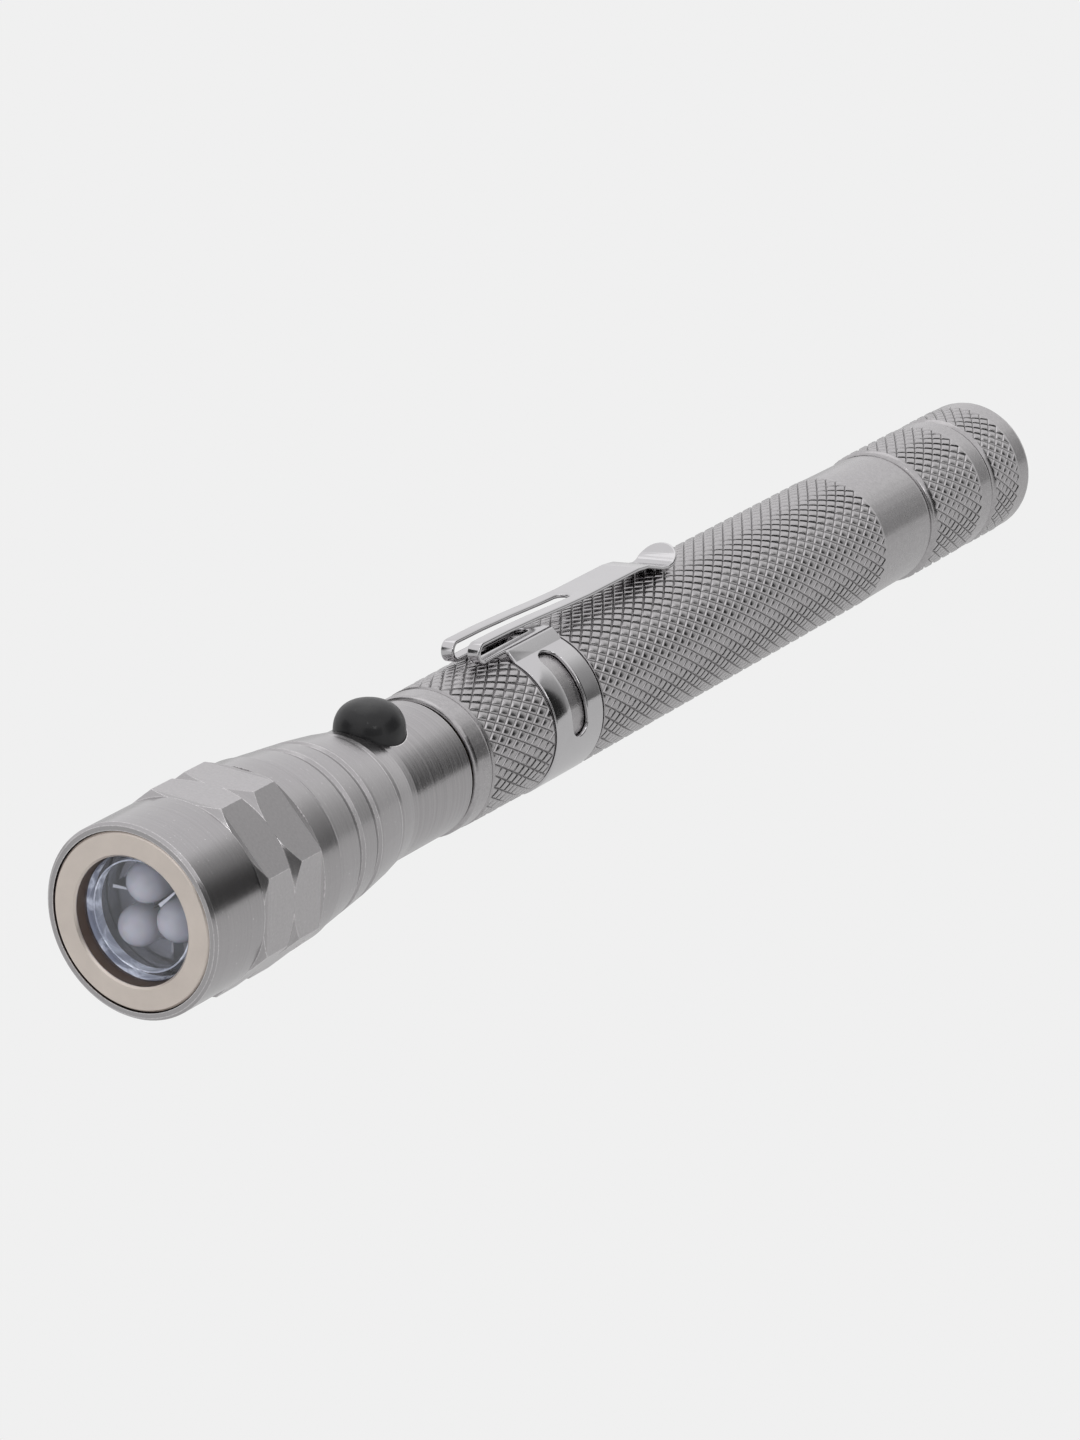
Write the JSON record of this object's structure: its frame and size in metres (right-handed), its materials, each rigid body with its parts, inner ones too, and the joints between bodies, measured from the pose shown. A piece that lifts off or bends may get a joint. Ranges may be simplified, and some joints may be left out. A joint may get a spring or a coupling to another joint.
{
  "type": "telescopic magnetic pickup tool",
  "caption": "Lit magnetic pickup tool: a ring magnet round LED lamps on a gooseneck and nested tubes that pull out of a knurled barrel with a pocket clip.",
  "frame": {"origin": "centre of the pickup magnet's front face", "axes": "+Y along the tool to its tail, +Z out through the push button"},
  "size_m": [0.0196, 0.17, 0.0203],
  "materials": {
    "turned_metal": "satin",
    "knurled_metal": "satin",
    "magnet": "satin",
    "clear_lens": "gloss",
    "lamp_epoxy": "gloss",
    "reflector_plastic": "gloss",
    "board_laminate": "matt",
    "black_chip": "matt",
    "sprung_steel": "satin",
    "cell_steel": "satin",
    "contact_brass": "satin",
    "black_sleeve": "matt",
    "black_rubber": "satin",
    "bright_steel": "polished",
    "bush_brass": "satin",
    "hose_steel": "satin",
    "pocket_clip_steel": "polished"
  },
  "bodies": {
    "barrel": {"barrel_tube": "knurled_metal", "front_guide": "bush_brass", "rear_bumper": "black_rubber", "tail_sleeve": "knurled_metal", "tail_cap": "knurled_metal", "tail_magnet": "magnet", "clip_band": "pocket_clip_steel"},
    "tube_1_stage": {"tube_1": "bright_steel", "tube_1_bush": "bush_brass"},
    "tube_2_stage": {"tube_2": "bright_steel", "tube_2_bush": "bush_brass"},
    "tube_3_stage": {"tube_3": "bright_steel", "tube_3_bush": "bush_brass"},
    "tube_4_stage": {"tube_4": "bright_steel", "tube_4_bush": "bush_brass"},
    "rod_stage": {"gooseneck_slider": "bush_brass"},
    "lamp_neck": {"gooseneck": "hose_steel", "gooseneck_ferrule": "bush_brass", "gooseneck_front_collar": "hose_steel", "gooseneck_rear_collar": "hose_steel", "neck_housing": "turned_metal", "cell_sleeve": "black_sleeve", "rear_contact": "contact_brass", "cell_1": "cell_steel", "cell_2": "cell_steel", "cell_3": "cell_steel", "cell_4": "cell_steel", "switch_body": "black_chip", "switch_board": "board_laminate"},
    "lamp_head": {"head_shell": "turned_metal", "ring_magnet": "magnet", "lens": "clear_lens", "led_holder": "reflector_plastic", "led_1": "lamp_epoxy", "led_2": "lamp_epoxy", "led_3": "lamp_epoxy", "circuit_board": "board_laminate", "resistor": "black_chip", "contact_spring": "sprung_steel", "seal_ring": "black_rubber"},
    "push_button": {"rubber_button": "black_rubber", "switch_plunger": "black_sleeve"},
    "pocket_clip": {"clip_arm": "pocket_clip_steel"}
  },
  "joints": [
    {"name": "tube_1_slide", "type": "slide", "parent": "barrel", "child": "tube_1_stage", "axis": [0, -1, 0], "range_m": [0, 0.08]},
    {"name": "tube_2_slide", "type": "slide", "parent": "tube_1_stage", "child": "tube_2_stage", "axis": [0, -1, 0], "range_m": [0, 0.083]},
    {"name": "tube_3_slide", "type": "slide", "parent": "tube_2_stage", "child": "tube_3_stage", "axis": [0, -1, 0], "range_m": [0, 0.083]},
    {"name": "tube_4_slide", "type": "slide", "parent": "tube_3_stage", "child": "tube_4_stage", "axis": [0, -1, 0], "range_m": [0, 0.083]},
    {"name": "rod_slide", "type": "slide", "parent": "tube_4_stage", "child": "rod_stage", "axis": [0, -1, 0], "range_m": [0, 0.08]},
    {"name": "head_turn", "type": "hinge", "parent": "rod_stage", "child": "lamp_neck", "pos_m": [0, 0.136, 0], "axis": [0, 1, 0], "continuous": true},
    {"name": "head_off", "type": "slide", "parent": "lamp_neck", "child": "lamp_head", "axis": [0, -1, 0], "range_m": [0, 0.0085]},
    {"name": "button_press", "type": "slide", "parent": "lamp_neck", "child": "push_button", "axis": [0, 0, -1], "range_m": [0, 0.0008], "stiffness_N_per_m": 2000, "springref_m": -0.0002},
    {"name": "clip_spring", "type": "hinge", "parent": "barrel", "child": "pocket_clip", "pos_m": [-0.00134, 0.0597, 0.00895], "axis": [0.989, 0, 0.1478], "range_deg": [0, 6], "stiffness_Nm_per_rad": 1.7}
  ]
}
